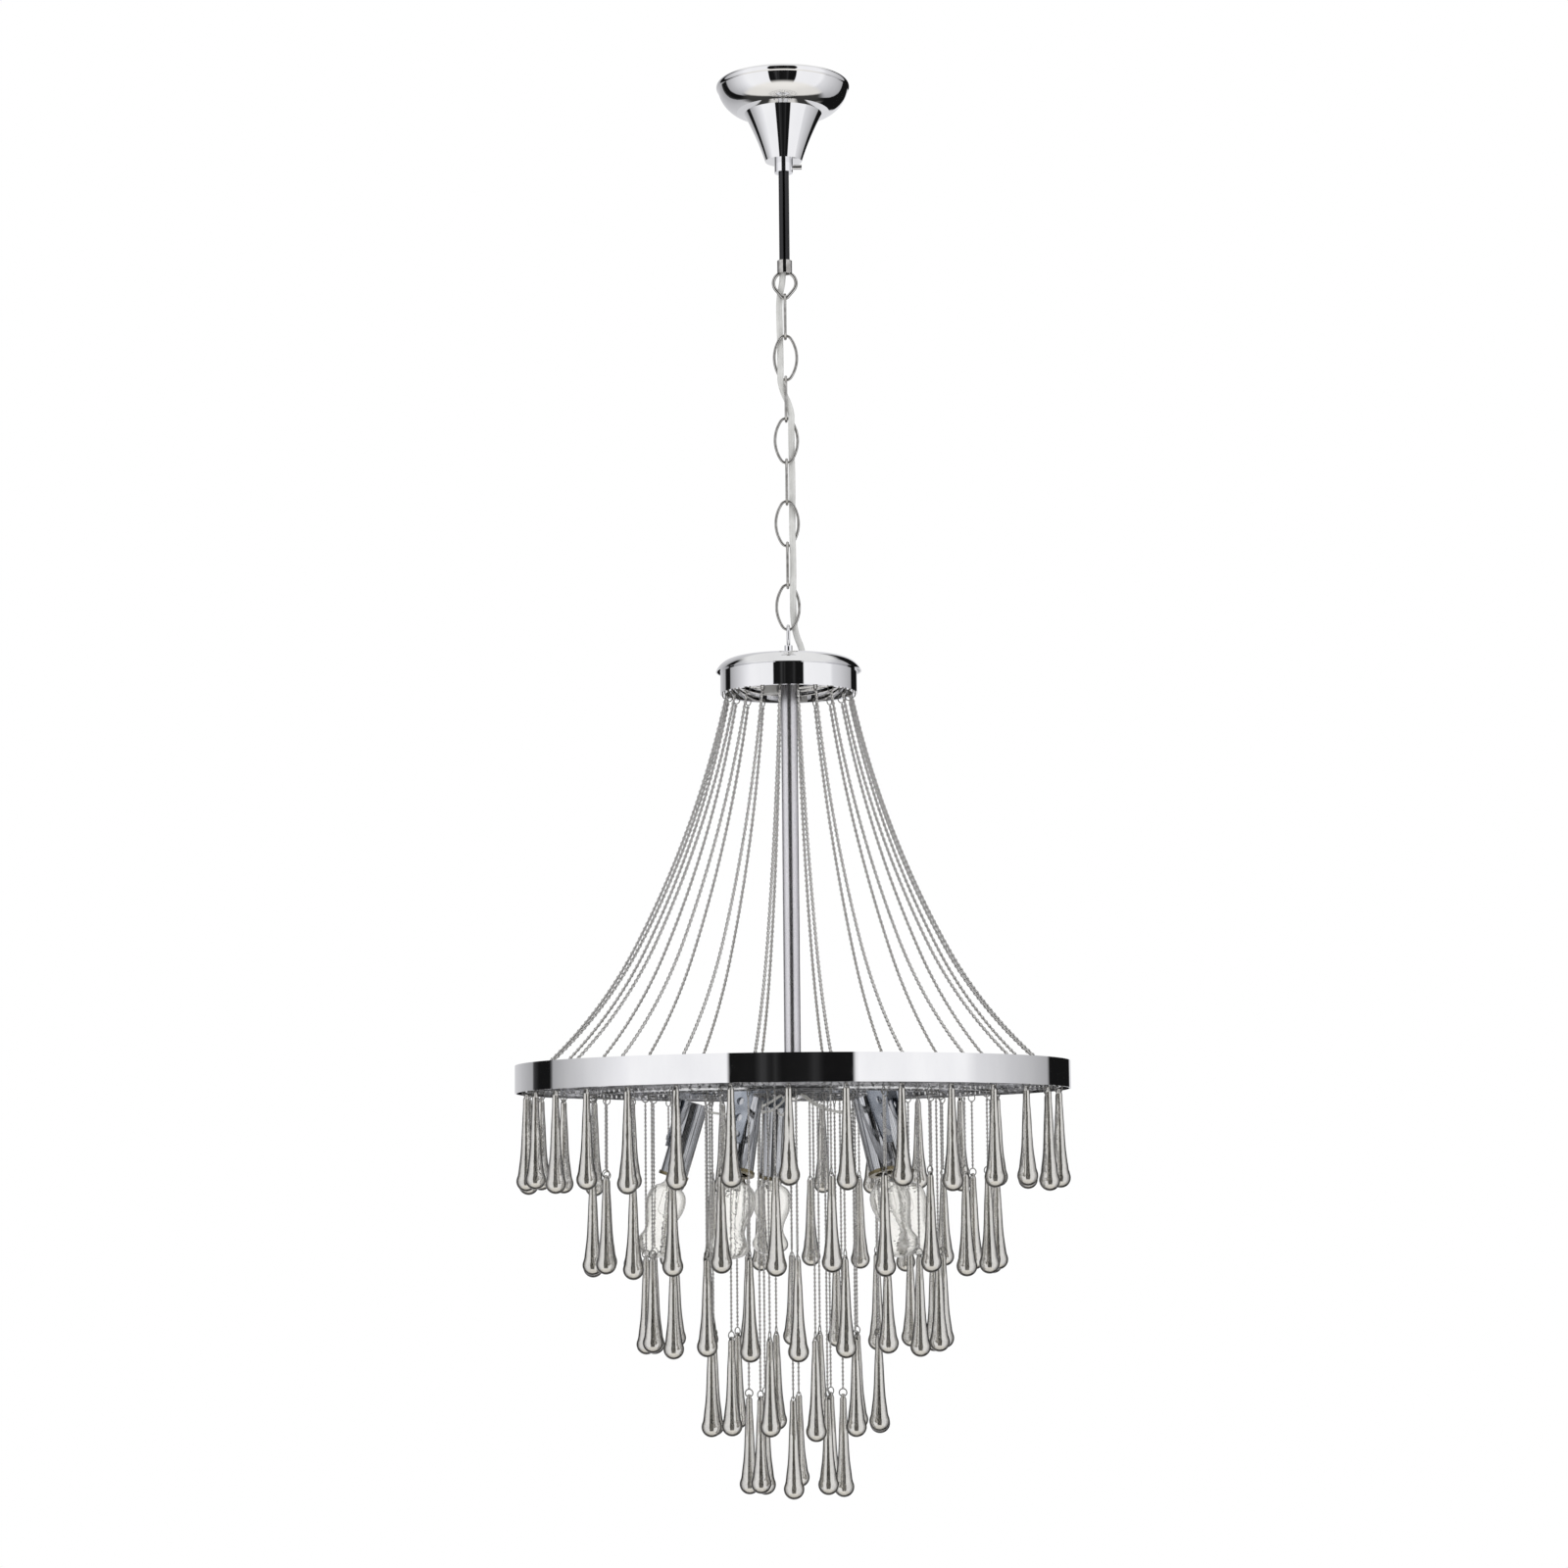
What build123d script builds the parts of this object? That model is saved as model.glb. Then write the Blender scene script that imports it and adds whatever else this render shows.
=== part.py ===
"""Crystal chandelier: a ceiling canopy and stem, an oval-link chain, a crown that drapes fine
strands to a wide ring, and five tiers of glass teardrops hanging around five candle lamps.

Millimetres. +Z is up and the ceiling is the plane z = 0, so every height below is negative.
Angles are counted from the front (-Y), positive towards +X.
"""
import os
from math import asin, atan, atan2, cos, degrees, hypot, pi, radians, sin, sqrt, tan

from build123d import *

# ---- driving dimensions -------------------------------------------------------------------
running_gap = 0.3            # between pieces that move against each other
seat_gap = 0.1               # radial play of a piece that sits in a hole
hook_gap = 0.15              # play of a wire hook in its hole

# canopy, its bracket and the stem
canopy_radius = 62.0
canopy_height = 74.0
canopy_wall = 1.2
canopy_bead = 3.0            # radius of the rolled rim
canopy_shelf_radius = 43.0   # where the dish turns in towards the cone
canopy_shelf_drop = 27.0
canopy_waist_radius = 36.0   # where that shelf meets the cone
canopy_waist_drop = 28.5
canopy_neck_radius = 17.0
collar_radius = 8.5
collar_height = 11.0
thumb_screw_radius = 2.4
thumb_screw_reach = 8.0
stem_radius = 4.8
stem_bore_radius = 3.3
stem_drop = 84.0             # bare stem below the collar
bracket_length = 100.0
bracket_width = 22.0
bracket_sheet = 2.0
bracket_step = 20.0          # how far its middle stands off the ceiling
bracket_foot = 22.0
bracket_hole_spacing = 80.0
bracket_hole_radius = 2.6
nut_radius = 8.0
nut_height = 5.0
terminal_width = 14.0
terminal_height = 8.0

# hanging loop of the stem
loop_collar_radius = 6.9
loop_collar_height = 12.0
loop_bore_radius = 4.8       # wider than the stem's, for the turn of the cable
loop_seat = 1.4              # how deep the loop's wire is set into its collar
loop_wire_radius = 1.6
loop_top_radius = 10.4       # centre line of the wide end
loop_tip_radius = 3.5        # centre line of the narrow end
loop_spread = 10.6           # between the two centres

# chain
link_count = 8
link_length = 44.4
link_width = 23.4
link_wire_radius = 1.3
link_end_radius = 6.0        # centre line of the tight ends

# crown
eye_ring_radius = 9.0        # centre line
eye_wire_radius = 1.6
eye_neck_radius = 3.6
eye_neck_height = 11.0
lid_overhang = 4.1           # how far the lid's lip stands out over the band
lid_height = 11.5
lid_shoulder = 17.0          # width of the rounded edge
lid_wall = 1.2
crown_radius = 62.5
crown_height = 31.9          # lid top to the band's lower edge
crown_wall = 1.2
crown_lip = 3.4              # width of the band's inner lip
lip_hole_radius = 1.05
coupling_radius = 9.0
coupling_height = 19.0
coupling_seat = 7.0          # depth of the stud in the coupling
cable_lid_offset = 13.0
grommet_wall = 1.5
connector_length = 16.0
connector_height = 12.0
connector_width = 14.0

# strands and hooks
strand_count = 22
strand_radius = 1.2
strand_first_angle = 8.2
strand_slack_top = 15.0      # degrees that the strand's ends and middle turn from its chord
strand_slack_middle = 0.5
strand_slack_bottom = 22.9
strand_hook_lean = 17.5      # of the small rings on the outer rail, towards the crown
strand_fall = 337.6          # crown's lower edge to the main ring's upper edge
hook_radius = 3.4            # centre line of the small wire rings
hook_wire_radius = 0.5
hook_hole_radius = 1.6
strand_hole_radius = 1.3
hook_land = 1.2              # metal left between a hook hole and the edge
hook_hole_counts = (155, 120, 80, 48, 24)   # around each strip; the drops hang in some of them

# main ring and drop frame
ring_radius = 250.0
ring_height = 24.7
ring_wall = 1.5
tube_radius = 7.5
tube_bore_radius = 6.2
strip_sheet = 1.6
strip_height = 7.0
strip_below_ring = 3.3       # how far the strips show under the main ring
spoke_count = 10
spoke_width = 3.0
spoke_height = 7.0
hub_radius = 30.0
hub_nut_radius = 10.0
hub_nut_height = 13.0
rail_lug_width = 3.0
rail_lug_land = 0.5          # between a lug and the holes under it
rail_inset = 10.0            # of the outermost strip's middle from the ring's outside
rail_lift = 5.0              # how much higher that strip's lower edge sits than the others'

# glass drops
inner_tier_radii = (182.0, 133.0, 77.0, 42.0)
tier_counts = (31, 24, 20, 12, 8)
tier_angles = (-1.0, -5.0, 1.0, -17.0, -3.5)
tier_falls = (0.0, 73.0, 144.0, 215.0, 268.0)   # how much lower each tier hangs than the first
drop_length = 88.0
drop_length_step = 1.4       # hand-made drops come in five lengths, this far apart
drop_bulb_radius = 9.1
drop_shoulder_lean = 24.0    # degrees, where the round bulb turns into the stem
# up the stem: share of the way from the bulb to the neck, share of the narrowing still to come
drop_stem = ((0.10, 0.75), (0.22, 0.54), (0.44, 0.32), (0.74, 0.14))
drop_neck_radius = 2.9
drop_tab_radius = 2.0
drop_tab_height = 4.6
drop_hole_radius = 1.3
drop_hole_from_top = 2.4
drop_wire_radius = 1.1       # of the fine chain that lets an inner tier hang lower

# lamps
lamp_count = 5
lamp_first_angle = -26.0
lamp_tilt = 17.0             # lower ends lean outwards
lamp_offset = 11.0           # from the fourth strip to the top of a lamp's own axis
lamp_top_gap = 7.0           # below the spokes, on the lamp's axis
holder_radius = 12.5
holder_start = 6.0
holder_length = 66.0
socket_depth = 21.0
rim_height = 3.0
rim_step = 1.2
cap_radius = 7.0
cap_wall = 0.8
bulb_radius = 17.5
bulb_length = 72.0
bulb_wall = 0.8
bracket_plate = 1.5
plate_top_width = 26.0
plate_tip_width = 9.0
plate_length = 50.0
plate_hole_radius = 3.6
plate_hole_places = (12.0, 27.0)
lamp_screw_radius = 1.5
lamp_wire_radius = 1.1
lamp_wire_sag = 16.0

# supply cable
cable_radius = 3.0

# ---- places worked out from them ----------------------------------------------------------
collar_top = -canopy_height
collar_bottom = collar_top - collar_height
stem_bottom = collar_bottom - stem_drop
loop_bottom = stem_bottom - loop_collar_height
loop_centre = loop_bottom + loop_seat - loop_top_radius
loop_tip = loop_centre - loop_spread - loop_tip_radius      # centre line of the lowest wire
bracket_middle = -bracket_step
stem_top = bracket_middle + nut_height + 1.5

link_rise = link_length - 2 * link_wire_radius              # centre line, end to end
link_half_width = link_width / 2 - link_wire_radius
chain_pitch = link_rise - 2 * link_wire_radius - running_gap
chain_top = loop_tip + loop_wire_radius + running_gap + link_wire_radius
link_tops = [chain_top - k * chain_pitch for k in range(link_count)]
chain_bottom = link_tops[-1] - link_rise
eye_top = chain_bottom + link_wire_radius + running_gap + eye_wire_radius
eye_centre = eye_top - eye_ring_radius
eye_bottom = eye_centre - eye_ring_radius - eye_wire_radius

lid_radius = crown_radius + lid_overhang
lid_top = eye_bottom - eye_neck_height
lid_under = lid_top - lid_wall
crown_bottom = lid_top - crown_height
coupling_bottom = lid_under - coupling_height
ring_top = crown_bottom - strand_fall
ring_bottom = ring_top - ring_height
strip_bottom = ring_bottom - strip_below_ring
strip_top = strip_bottom + strip_height
spoke_top = strip_top + spoke_height
ring_bore = ring_radius - ring_wall
tier_radii = (ring_radius - rail_inset,) + inner_tier_radii
strip_bottoms = [strip_bottom + rail_lift] + [strip_bottom] * len(inner_tier_radii)
hook_dip = hook_radius - sqrt(hook_radius**2 - (strip_sheet / 2) ** 2)
hook_seat = hook_land + hook_gap + hook_wire_radius + hook_dip    # strip's edge to the wire
tab_dip = hook_radius - sqrt(hook_radius**2 - drop_tab_radius**2)
drop_seat = tab_dip + hook_wire_radius + hook_gap - drop_hole_radius + drop_hole_from_top
drop_top = strip_bottoms[0] + hook_seat - 2 * hook_radius + drop_seat
lamp_radius = inner_tier_radii[2] + lamp_offset
lamp_top = strip_top - lamp_top_gap
holder_end = holder_start + holder_length
spoke_angles = [lamp_first_angle + 360 / spoke_count * k for k in range(spoke_count)]
lamp_angles = [lamp_first_angle + 360 / lamp_count * k for k in range(lamp_count)]


# ---- helpers ------------------------------------------------------------------------------
def cylinder(radius, low, high):
    """A cylinder on the Z axis between two heights."""
    return Pos(0, 0, (low + high) / 2) * Cylinder(radius, high - low)


def tube(outer, inner, low, high):
    return cylinder(outer, low, high) - cylinder(inner, low - 1, high + 1)


def block(low, high):
    """A box between two corners."""
    size = [b - a for a, b in zip(low, high)]
    middle = [(a + b) / 2 for a, b in zip(low, high)]
    return Pos(*middle) * Box(*size)


def turned(shape, angle):
    """Turns a shape built along +X to an angle counted from the front."""
    return Rot(0, 0, angle - 90) * shape


def ring_wire(radius, wire):
    """A closed wire ring that stands in the XZ plane."""
    return Rot(90, 0, 0) * Torus(radius, wire)


def angles_of(tier):
    return [tier_angles[tier] + 360 / tier_counts[tier] * k for k in range(tier_counts[tier])]


def in_xz(x, z):
    return (x, 0, z)


def swept(edges, start, direction, radius):
    """A round wire along tangent edges."""
    path = Wire(edges)
    section = Plane(origin=start, z_dir=direction) * Circle(radius)
    return sweep(section, path=path)


def revolved(edges):
    return revolve(make_face(edges), axis=Axis.Z)


def save(name, shapes):
    """Writes one node; shapes is one shape or a list of them."""
    group = shapes if isinstance(shapes, list) else [shapes]
    solids = [solid for shape in group for solid in shape.solids()]
    export_step(solids[0] if len(solids) == 1 else Compound(solids), f"parts/{name}.step")


# ---- canopy and stem ----------------------------------------------------------------------
def canopy_outline(inset):
    """Half outline of the canopy, moved inwards by inset, from the rim down to the neck."""
    rim = canopy_radius - inset
    dish_start = (rim - canopy_bead / 2, -2 * canopy_bead - inset / 2)
    shelf = (canopy_shelf_radius - 0.6 * inset, -canopy_shelf_drop + inset)
    waist = (canopy_waist_radius - 0.7 * inset, -canopy_waist_drop + inset)
    neck = (canopy_neck_radius - inset, -canopy_height + inset)
    dish_middle = ((dish_start[0] + shelf[0]) / 2 + 2.5, (dish_start[1] + shelf[1]) / 2 - 2.1)
    cone_middle = (
        neck[0] + 0.47 * (waist[0] - neck[0]),
        neck[1] + 0.53 * (waist[1] - neck[1]),
    )
    bead_start = (rim - canopy_bead / 2, 0)
    bead_middle = (rim, -canopy_bead)
    edges = [
        ThreePointArc(in_xz(*bead_start), in_xz(*bead_middle), in_xz(*dish_start)),
        ThreePointArc(in_xz(*dish_start), in_xz(*dish_middle), in_xz(*shelf)),
        Line(in_xz(*shelf), in_xz(*waist)),
        ThreePointArc(in_xz(*waist), in_xz(*cone_middle), in_xz(*neck)),
    ]
    return edges, bead_start, neck


def canopy_volume(inset, top):
    """The solid of revolution under that outline, closed flat at the rim and at the neck."""
    edges, rim, neck = canopy_outline(inset)
    edges.append(Line(in_xz(*neck), in_xz(0, neck[1])))
    edges.append(Line(in_xz(0, neck[1]), in_xz(0, top)))
    if top > 0:
        edges.append(Line(in_xz(0, top), in_xz(rim[0], top)))
        edges.append(Line(in_xz(rim[0], top), in_xz(*rim)))
    else:
        edges.append(Line(in_xz(0, 0), in_xz(*rim)))
    return revolved(edges)


def make_canopy():
    shell = canopy_volume(0, 0) - canopy_volume(canopy_wall, 1.0)
    return shell - cylinder(stem_radius + running_gap, -canopy_height - 1, 0)


def make_collar():
    collar = tube(collar_radius, stem_radius + seat_gap, collar_bottom, collar_top)
    screw_hole = Rot(0, 90, 0) * Cylinder(thumb_screw_radius / 2 + seat_gap, 2 * collar_radius)
    return collar - Pos(collar_radius, 0, (collar_top + collar_bottom) / 2) * screw_hole


def make_collar_screw():
    """Thumb screw with a turned head, its point just clear of the stem."""
    point = stem_radius + seat_gap
    head = collar_radius + running_gap
    shank = Rot(0, 90, 0) * Cylinder(thumb_screw_radius / 2, head - point)
    knob = Rot(0, 90, 0) * Cylinder(thumb_screw_radius, thumb_screw_reach)
    screw = Pos((point + head) / 2, 0, 0) * shank + Pos(head + thumb_screw_reach / 2, 0, 0) * knob
    return Pos(0, 0, (collar_top + collar_bottom) / 2) * screw


def make_bracket():
    """A strap with two feet on the ceiling and a middle that hangs lower."""
    half, wide = bracket_length / 2, bracket_width / 2
    leg = half - bracket_foot
    strap = block((-leg, -wide, bracket_middle - bracket_sheet), (leg, wide, bracket_middle))
    for side in (-1, 1):
        inner, outer = side * (leg - bracket_sheet), side * leg
        low_x, high_x = min(inner, outer), max(inner, outer)
        strap += block((low_x, -wide, bracket_middle - bracket_sheet), (high_x, wide, 0))
        foot_low, foot_high = min(inner, side * half), max(inner, side * half)
        strap += block((foot_low, -wide, -bracket_sheet), (foot_high, wide, 0))
        strap -= Pos(side * bracket_hole_spacing / 2, 0, 0) * cylinder(
            bracket_hole_radius, -2 * bracket_sheet, bracket_sheet
        )
    return strap - cylinder(stem_radius + seat_gap, -2 * bracket_step, 0)


def make_stem_nuts():
    """Two hexagon nuts that clamp the stem to the bracket's middle."""
    nuts = []
    under = bracket_middle - bracket_sheet
    for low in (bracket_middle, under - nut_height):
        nut = Pos(0, 0, low) * extrude(RegularPolygon(nut_radius, 6), amount=nut_height)
        nuts.append(nut - cylinder(stem_radius + seat_gap, low - 1, low + nut_height + 1))
    return nuts


def make_terminal_block():
    """Terminal block on the bracket's left leg, above the stem's open end."""
    left = -(bracket_length / 2 - bracket_foot - bracket_sheet)
    low = stem_top + 1.5
    body = block((left, -terminal_width / 2, low), (10, terminal_width / 2, low + terminal_height))
    screws = [Pos(left * share, 0, 0) * cylinder(2.2, low + terminal_height / 2, 0)
              for share in (0.75, 0.45)]
    for screw in screws:
        body -= screw
    return body


def pear_path(top_radius, tip_radius, spread):
    """Closed outline around a large circle at the origin and a small one below it."""
    lean = atan2(sqrt(spread**2 - (top_radius - tip_radius) ** 2), top_radius - tip_radius)
    side, down = sin(lean), cos(lean)
    top = in_xz(0, top_radius)
    big = [(s * top_radius * side, -top_radius * down) for s in (-1, 1)]
    small = [(s * tip_radius * side, -spread - tip_radius * down) for s in (-1, 1)]
    return [
        ThreePointArc(in_xz(*big[1]), top, in_xz(*big[0])),
        Line(in_xz(*big[0]), in_xz(*small[0])),
        ThreePointArc(in_xz(*small[0]), in_xz(0, -spread - tip_radius), in_xz(*small[1])),
        Line(in_xz(*small[1]), in_xz(*big[1])),
    ], big[1], small[1]


def make_stem_loop():
    """Collar under the stem with the loop that carries the chain."""
    edges, upper, lower = pear_path(loop_top_radius, loop_tip_radius, loop_spread)
    rise = (upper[0] - lower[0], 0, upper[1] - lower[1])
    # start in the middle of a straight side, where the section is easy to place
    middle = ((upper[0] + lower[0]) / 2, (upper[1] + lower[1]) / 2)
    edges[3] = Line(in_xz(*middle), in_xz(*upper))
    edges.append(Line(in_xz(*lower), in_xz(*middle)))
    order = [edges[3], edges[0], edges[1], edges[2], edges[4]]
    loop = Pos(0, 0, loop_centre) * swept(order, in_xz(*middle), rise, loop_wire_radius)
    body = cylinder(loop_collar_radius, loop_bottom, stem_bottom) + loop
    low = loop_bottom - 2 * loop_wire_radius
    return body - cylinder(loop_bore_radius, low, stem_bottom + 1)


# ---- chain --------------------------------------------------------------------------------
def oval_path(half_height, half_width, end_radius):
    """Closed oval of four tangent arcs about the origin, and the point where it starts."""
    reach = half_height - end_radius
    side = (half_width**2 + reach**2 - end_radius**2) / (2 * (half_width - end_radius))
    centre = half_width - side
    share = side / (side - end_radius)
    meet = (centre + share * -centre, share * reach)
    corners = [(meet[0], meet[1]), (-meet[0], meet[1]), (-meet[0], -meet[1]), (meet[0], -meet[1])]
    half_turn = asin(meet[1] / side) / 2
    bulge = (centre + side * cos(half_turn), side * sin(half_turn))
    start = (half_width, 0)
    return [
        ThreePointArc(in_xz(*start), in_xz(*bulge), in_xz(*corners[0])),
        ThreePointArc(in_xz(*corners[0]), in_xz(0, half_height), in_xz(*corners[1])),
        ThreePointArc(in_xz(*corners[1]), in_xz(-half_width, 0), in_xz(*corners[2])),
        ThreePointArc(in_xz(*corners[2]), in_xz(0, -half_height), in_xz(*corners[3])),
        ThreePointArc(in_xz(*corners[3]), in_xz(bulge[0], -bulge[1]), in_xz(*start)),
    ], start


def make_links():
    """Oval links; odd ones are edge-on from the front, even ones face it."""
    edges, start = oval_path(link_rise / 2, link_half_width, link_end_radius)
    link = swept(edges, in_xz(*start), (0, 0, 1), link_wire_radius)
    links = []
    for k, top in enumerate(link_tops):
        turn = 90 if k % 2 == 0 else 0
        links.append(Pos(0, 0, top - link_rise / 2) * Rot(0, 0, turn) * link)
    return links


# ---- crown --------------------------------------------------------------------------------
def make_crown_eye():
    """Ring, neck and stud; the ring stands edge-on from the front."""
    ring = Pos(0, 0, eye_centre) * Rot(0, 0, 90) * ring_wire(eye_ring_radius, eye_wire_radius)
    low = lid_under - coupling_seat
    neck = cylinder(eye_neck_radius, low, eye_centre - eye_ring_radius)
    flange = cylinder(eye_neck_radius + 1.4, lid_top, lid_top + 2.0)
    return ring + neck + flange


def lid_face(drop, inset):
    """Dome of the lid: flat middle, rounded shoulder that ends at the lip."""
    flat = lid_radius - lid_shoulder
    lip = (lid_radius - inset, lid_top - lid_height)
    top = lid_top - drop
    middle = (flat + 0.62 * lid_shoulder, top - 0.3 * (lid_height - drop))
    return [
        Line(in_xz(0, top), in_xz(flat, top)),
        ThreePointArc(in_xz(flat, top), in_xz(*middle), in_xz(*lip)),
        Line(in_xz(*lip), in_xz(0, lip[1])),
        Line(in_xz(0, lip[1]), in_xz(0, top)),
    ]


def make_lid():
    lid = revolved(lid_face(0, 0)) - revolved(lid_face(lid_wall, lid_wall))
    lid -= cylinder(eye_neck_radius + seat_gap, lid_under - 1, lid_top + 1)
    hole = cylinder(cable_radius + grommet_wall + seat_gap, lid_under - 1, lid_top + 1)
    return lid - Pos(cable_lid_offset, 0, 0) * hole


def make_grommet():
    outer = cable_radius + grommet_wall
    sleeve = tube(outer, cable_radius + seat_gap, lid_under, lid_top)
    flange = tube(outer + 1, cable_radius + seat_gap, lid_top, lid_top + 1.2)
    return Pos(cable_lid_offset, 0, 0) * (sleeve + flange)


def crown_hook_centre():
    """Radius and height of the ring that hangs on the crown's lip, in the strand's plane."""
    lip_inner = crown_radius - crown_wall - crown_lip
    radius = lip_inner - 0.7
    play = sqrt((hook_radius - hook_wire_radius) ** 2 - (0.7 + hook_land) ** 2)
    return radius, crown_bottom + crown_wall - play + hook_gap


def crown_hole_place():
    """Where the hook's wire goes through the lip: the middle of its upper and lower places."""
    radius, height = crown_hook_centre()
    rises = [crown_bottom - height, crown_bottom + crown_wall - height]
    return radius + sum(sqrt(hook_radius**2 - rise**2) for rise in rises) / 2


def make_crown_band():
    """Polished band with an inner lip that is drilled for the strand hooks."""
    flat = lid_radius - lid_shoulder
    span = (crown_radius - flat) / lid_shoulder
    top = lid_under - lid_height * span**2
    band = tube(crown_radius, crown_radius - crown_wall, crown_bottom, top)
    lip_inner = crown_radius - crown_wall - crown_lip
    band += tube(crown_radius - crown_wall / 2, lip_inner, crown_bottom, crown_bottom + crown_wall)
    hole = Pos(crown_hole_place(), 0, 0) * cylinder(
        lip_hole_radius, crown_bottom - 1, crown_bottom + crown_wall + 1
    )
    for angle in strand_angles():
        band -= turned(hole, angle)
    return band


def make_coupling():
    """Threaded coupling that joins the eye's stud to the centre tube."""
    body = cylinder(coupling_radius, coupling_bottom, lid_under)
    body -= cylinder(eye_neck_radius + seat_gap, lid_under - coupling_seat, lid_under + 1)
    seat = lid_under - coupling_seat
    body -= cylinder(tube_bore_radius, seat - 2, seat)
    return body - cylinder(tube_radius + seat_gap, coupling_bottom - 1, seat - 2)


def make_connector():
    """Connector block under the lid, where the supply cable ends."""
    left = coupling_radius + running_gap
    wide = connector_width / 2
    low = lid_under - connector_height
    return block((left, -wide, low), (left + connector_length, wide, lid_under))


# ---- strands ------------------------------------------------------------------------------
def strand_angles():
    return [strand_first_angle + 360 / strand_count * k for k in range(strand_count)]


def rail_hook_centre():
    """Radius and height of the small ring at a strand's lower end, and its hole's height."""
    rail = tier_radii[0]
    hole = spoke_top - hook_land - strand_hole_radius
    lean = radians(strand_hook_lean)
    reach = (hook_wire_radius + strip_sheet / 2 * sin(lean)) / cos(lean)
    wire = hole + strand_hole_radius - hook_gap - reach - hook_dip
    return rail - hook_radius * sin(lean), wire + hook_radius * cos(lean), hole


def strand_ends():
    """Where a strand starts under its upper hook and ends at its lower one."""
    top_r, top_z = crown_hook_centre()
    low_r, low_z, _ = rail_hook_centre()
    reach = hook_radius + hook_wire_radius + running_gap
    chord = atan2(low_r - top_r, top_z - low_z)
    first = chord - radians(strand_slack_top)
    last = chord + radians(strand_slack_bottom)
    start = (top_r + reach * sin(first), top_z - reach * cos(first))
    end = (low_r - reach * sin(last), low_z + reach * cos(last))
    return start, end


def make_strand():
    """One hanging strand: two tangent arcs in the radial plane, steeper at the crown."""
    start, end = strand_ends()
    across, down = end[0] - start[0], start[1] - end[1]
    chord = atan2(across, down)
    first = chord - radians(strand_slack_top)
    middle = chord + radians(strand_slack_middle)
    last = chord + radians(strand_slack_bottom)
    a1, a2 = cos(first) - cos(middle), cos(middle) - cos(last)
    b1, b2 = sin(middle) - sin(first), sin(last) - sin(middle)
    scale = a1 * b2 - a2 * b1
    upper = (across * b2 - a2 * down) / scale
    lower = (a1 * down - across * b1) / scale

    def along(origin, radius, begin, angle):
        return (
            origin[0] + radius * (cos(begin) - cos(angle)),
            origin[1] - radius * (sin(angle) - sin(begin)),
        )

    joint = along(start, upper, first, middle)
    halfway = along(start, upper, first, (first + middle) / 2)
    three_quarters = along(joint, lower, middle, (middle + last) / 2)
    edges = [
        ThreePointArc(in_xz(*start), in_xz(*halfway), in_xz(*joint)),
        ThreePointArc(in_xz(*joint), in_xz(*three_quarters), in_xz(*end)),
    ]
    return swept(edges, in_xz(*start), (sin(first), 0, -cos(first)), strand_radius)


def make_strand_hooks():
    top_r, top_z = crown_hook_centre()
    low_r, low_z, _ = rail_hook_centre()
    ring = ring_wire(hook_radius, hook_wire_radius)
    pair = [Pos(top_r, 0, top_z) * ring, Pos(low_r, 0, low_z) * ring]
    return [turned(hook, angle) for angle in strand_angles() for hook in pair]


# ---- ring and frame -----------------------------------------------------------------------
def make_main_ring():
    return tube(ring_radius, ring_bore, ring_bottom, ring_top)


def radial_holes(radius, place, height, angles):
    """Holes through a strip at that place from the axis, one at each angle."""
    hole = Pos(place, 0, height) * Rot(0, 90, 0) * Cylinder(radius, 6 * strip_sheet)
    return [turned(hole, angle) for angle in angles]


def make_frame_ring(tier):
    """Drilled strip on edge. The outermost sits higher, carries the strands and has lugs."""
    radius = tier_radii[tier]
    half = strip_sheet / 2
    low, top = strip_bottoms[tier], spoke_top if tier == 0 else strip_top
    strip = tube(radius + half, radius - half, low, top)
    hole_height = low + hook_land + hook_hole_radius
    step = 360 / hook_hole_counts[tier]
    places = [tier_angles[tier] + step * k for k in range(hook_hole_counts[tier])]
    holes = radial_holes(hook_hole_radius, radius, hole_height, places)
    if tier == 0:
        _, _, strand_hole = rail_hook_centre()
        holes += radial_holes(strand_hole_radius, radius, strand_hole, strand_angles())
        wide = rail_lug_width / 2
        lug_low = hole_height + hook_hole_radius + rail_lug_land
        lug_high = spoke_top - rail_lug_land
        lug = block((radius, -wide, lug_low), (ring_bore - seat_gap / 2, wide, lug_high))
        for angle in spoke_angles:
            strip += turned(lug, angle)
    return strip - holes


def make_spokes():
    outer = tier_radii[0] - strip_sheet / 2
    wide = spoke_width / 2
    bar = block((hub_radius - 0.02, -wide, strip_top), (outer - 0.01, wide, spoke_top))
    hub = cylinder(hub_radius, strip_top - 1, spoke_top + 1)
    return [turned(bar, angle) - hub for angle in spoke_angles]


def make_hub():
    return tube(hub_radius, tube_radius + seat_gap, strip_top, spoke_top)


def make_hub_nut():
    """Domed cap nut under the hub, closed below the tube's end."""
    nut = cylinder(hub_nut_radius, strip_top - hub_nut_height, strip_top)
    nut = fillet(nut.edges().sort_by(Axis.Z)[:1], hub_nut_radius * 0.6)
    return nut - cylinder(tube_radius + seat_gap, strip_top - hub_nut_height + 3, strip_top + 1)


def make_centre_tube():
    top = lid_under - coupling_seat - 2
    return tube(tube_radius, tube_bore_radius, strip_top - hub_nut_height + 3, top)


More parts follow.
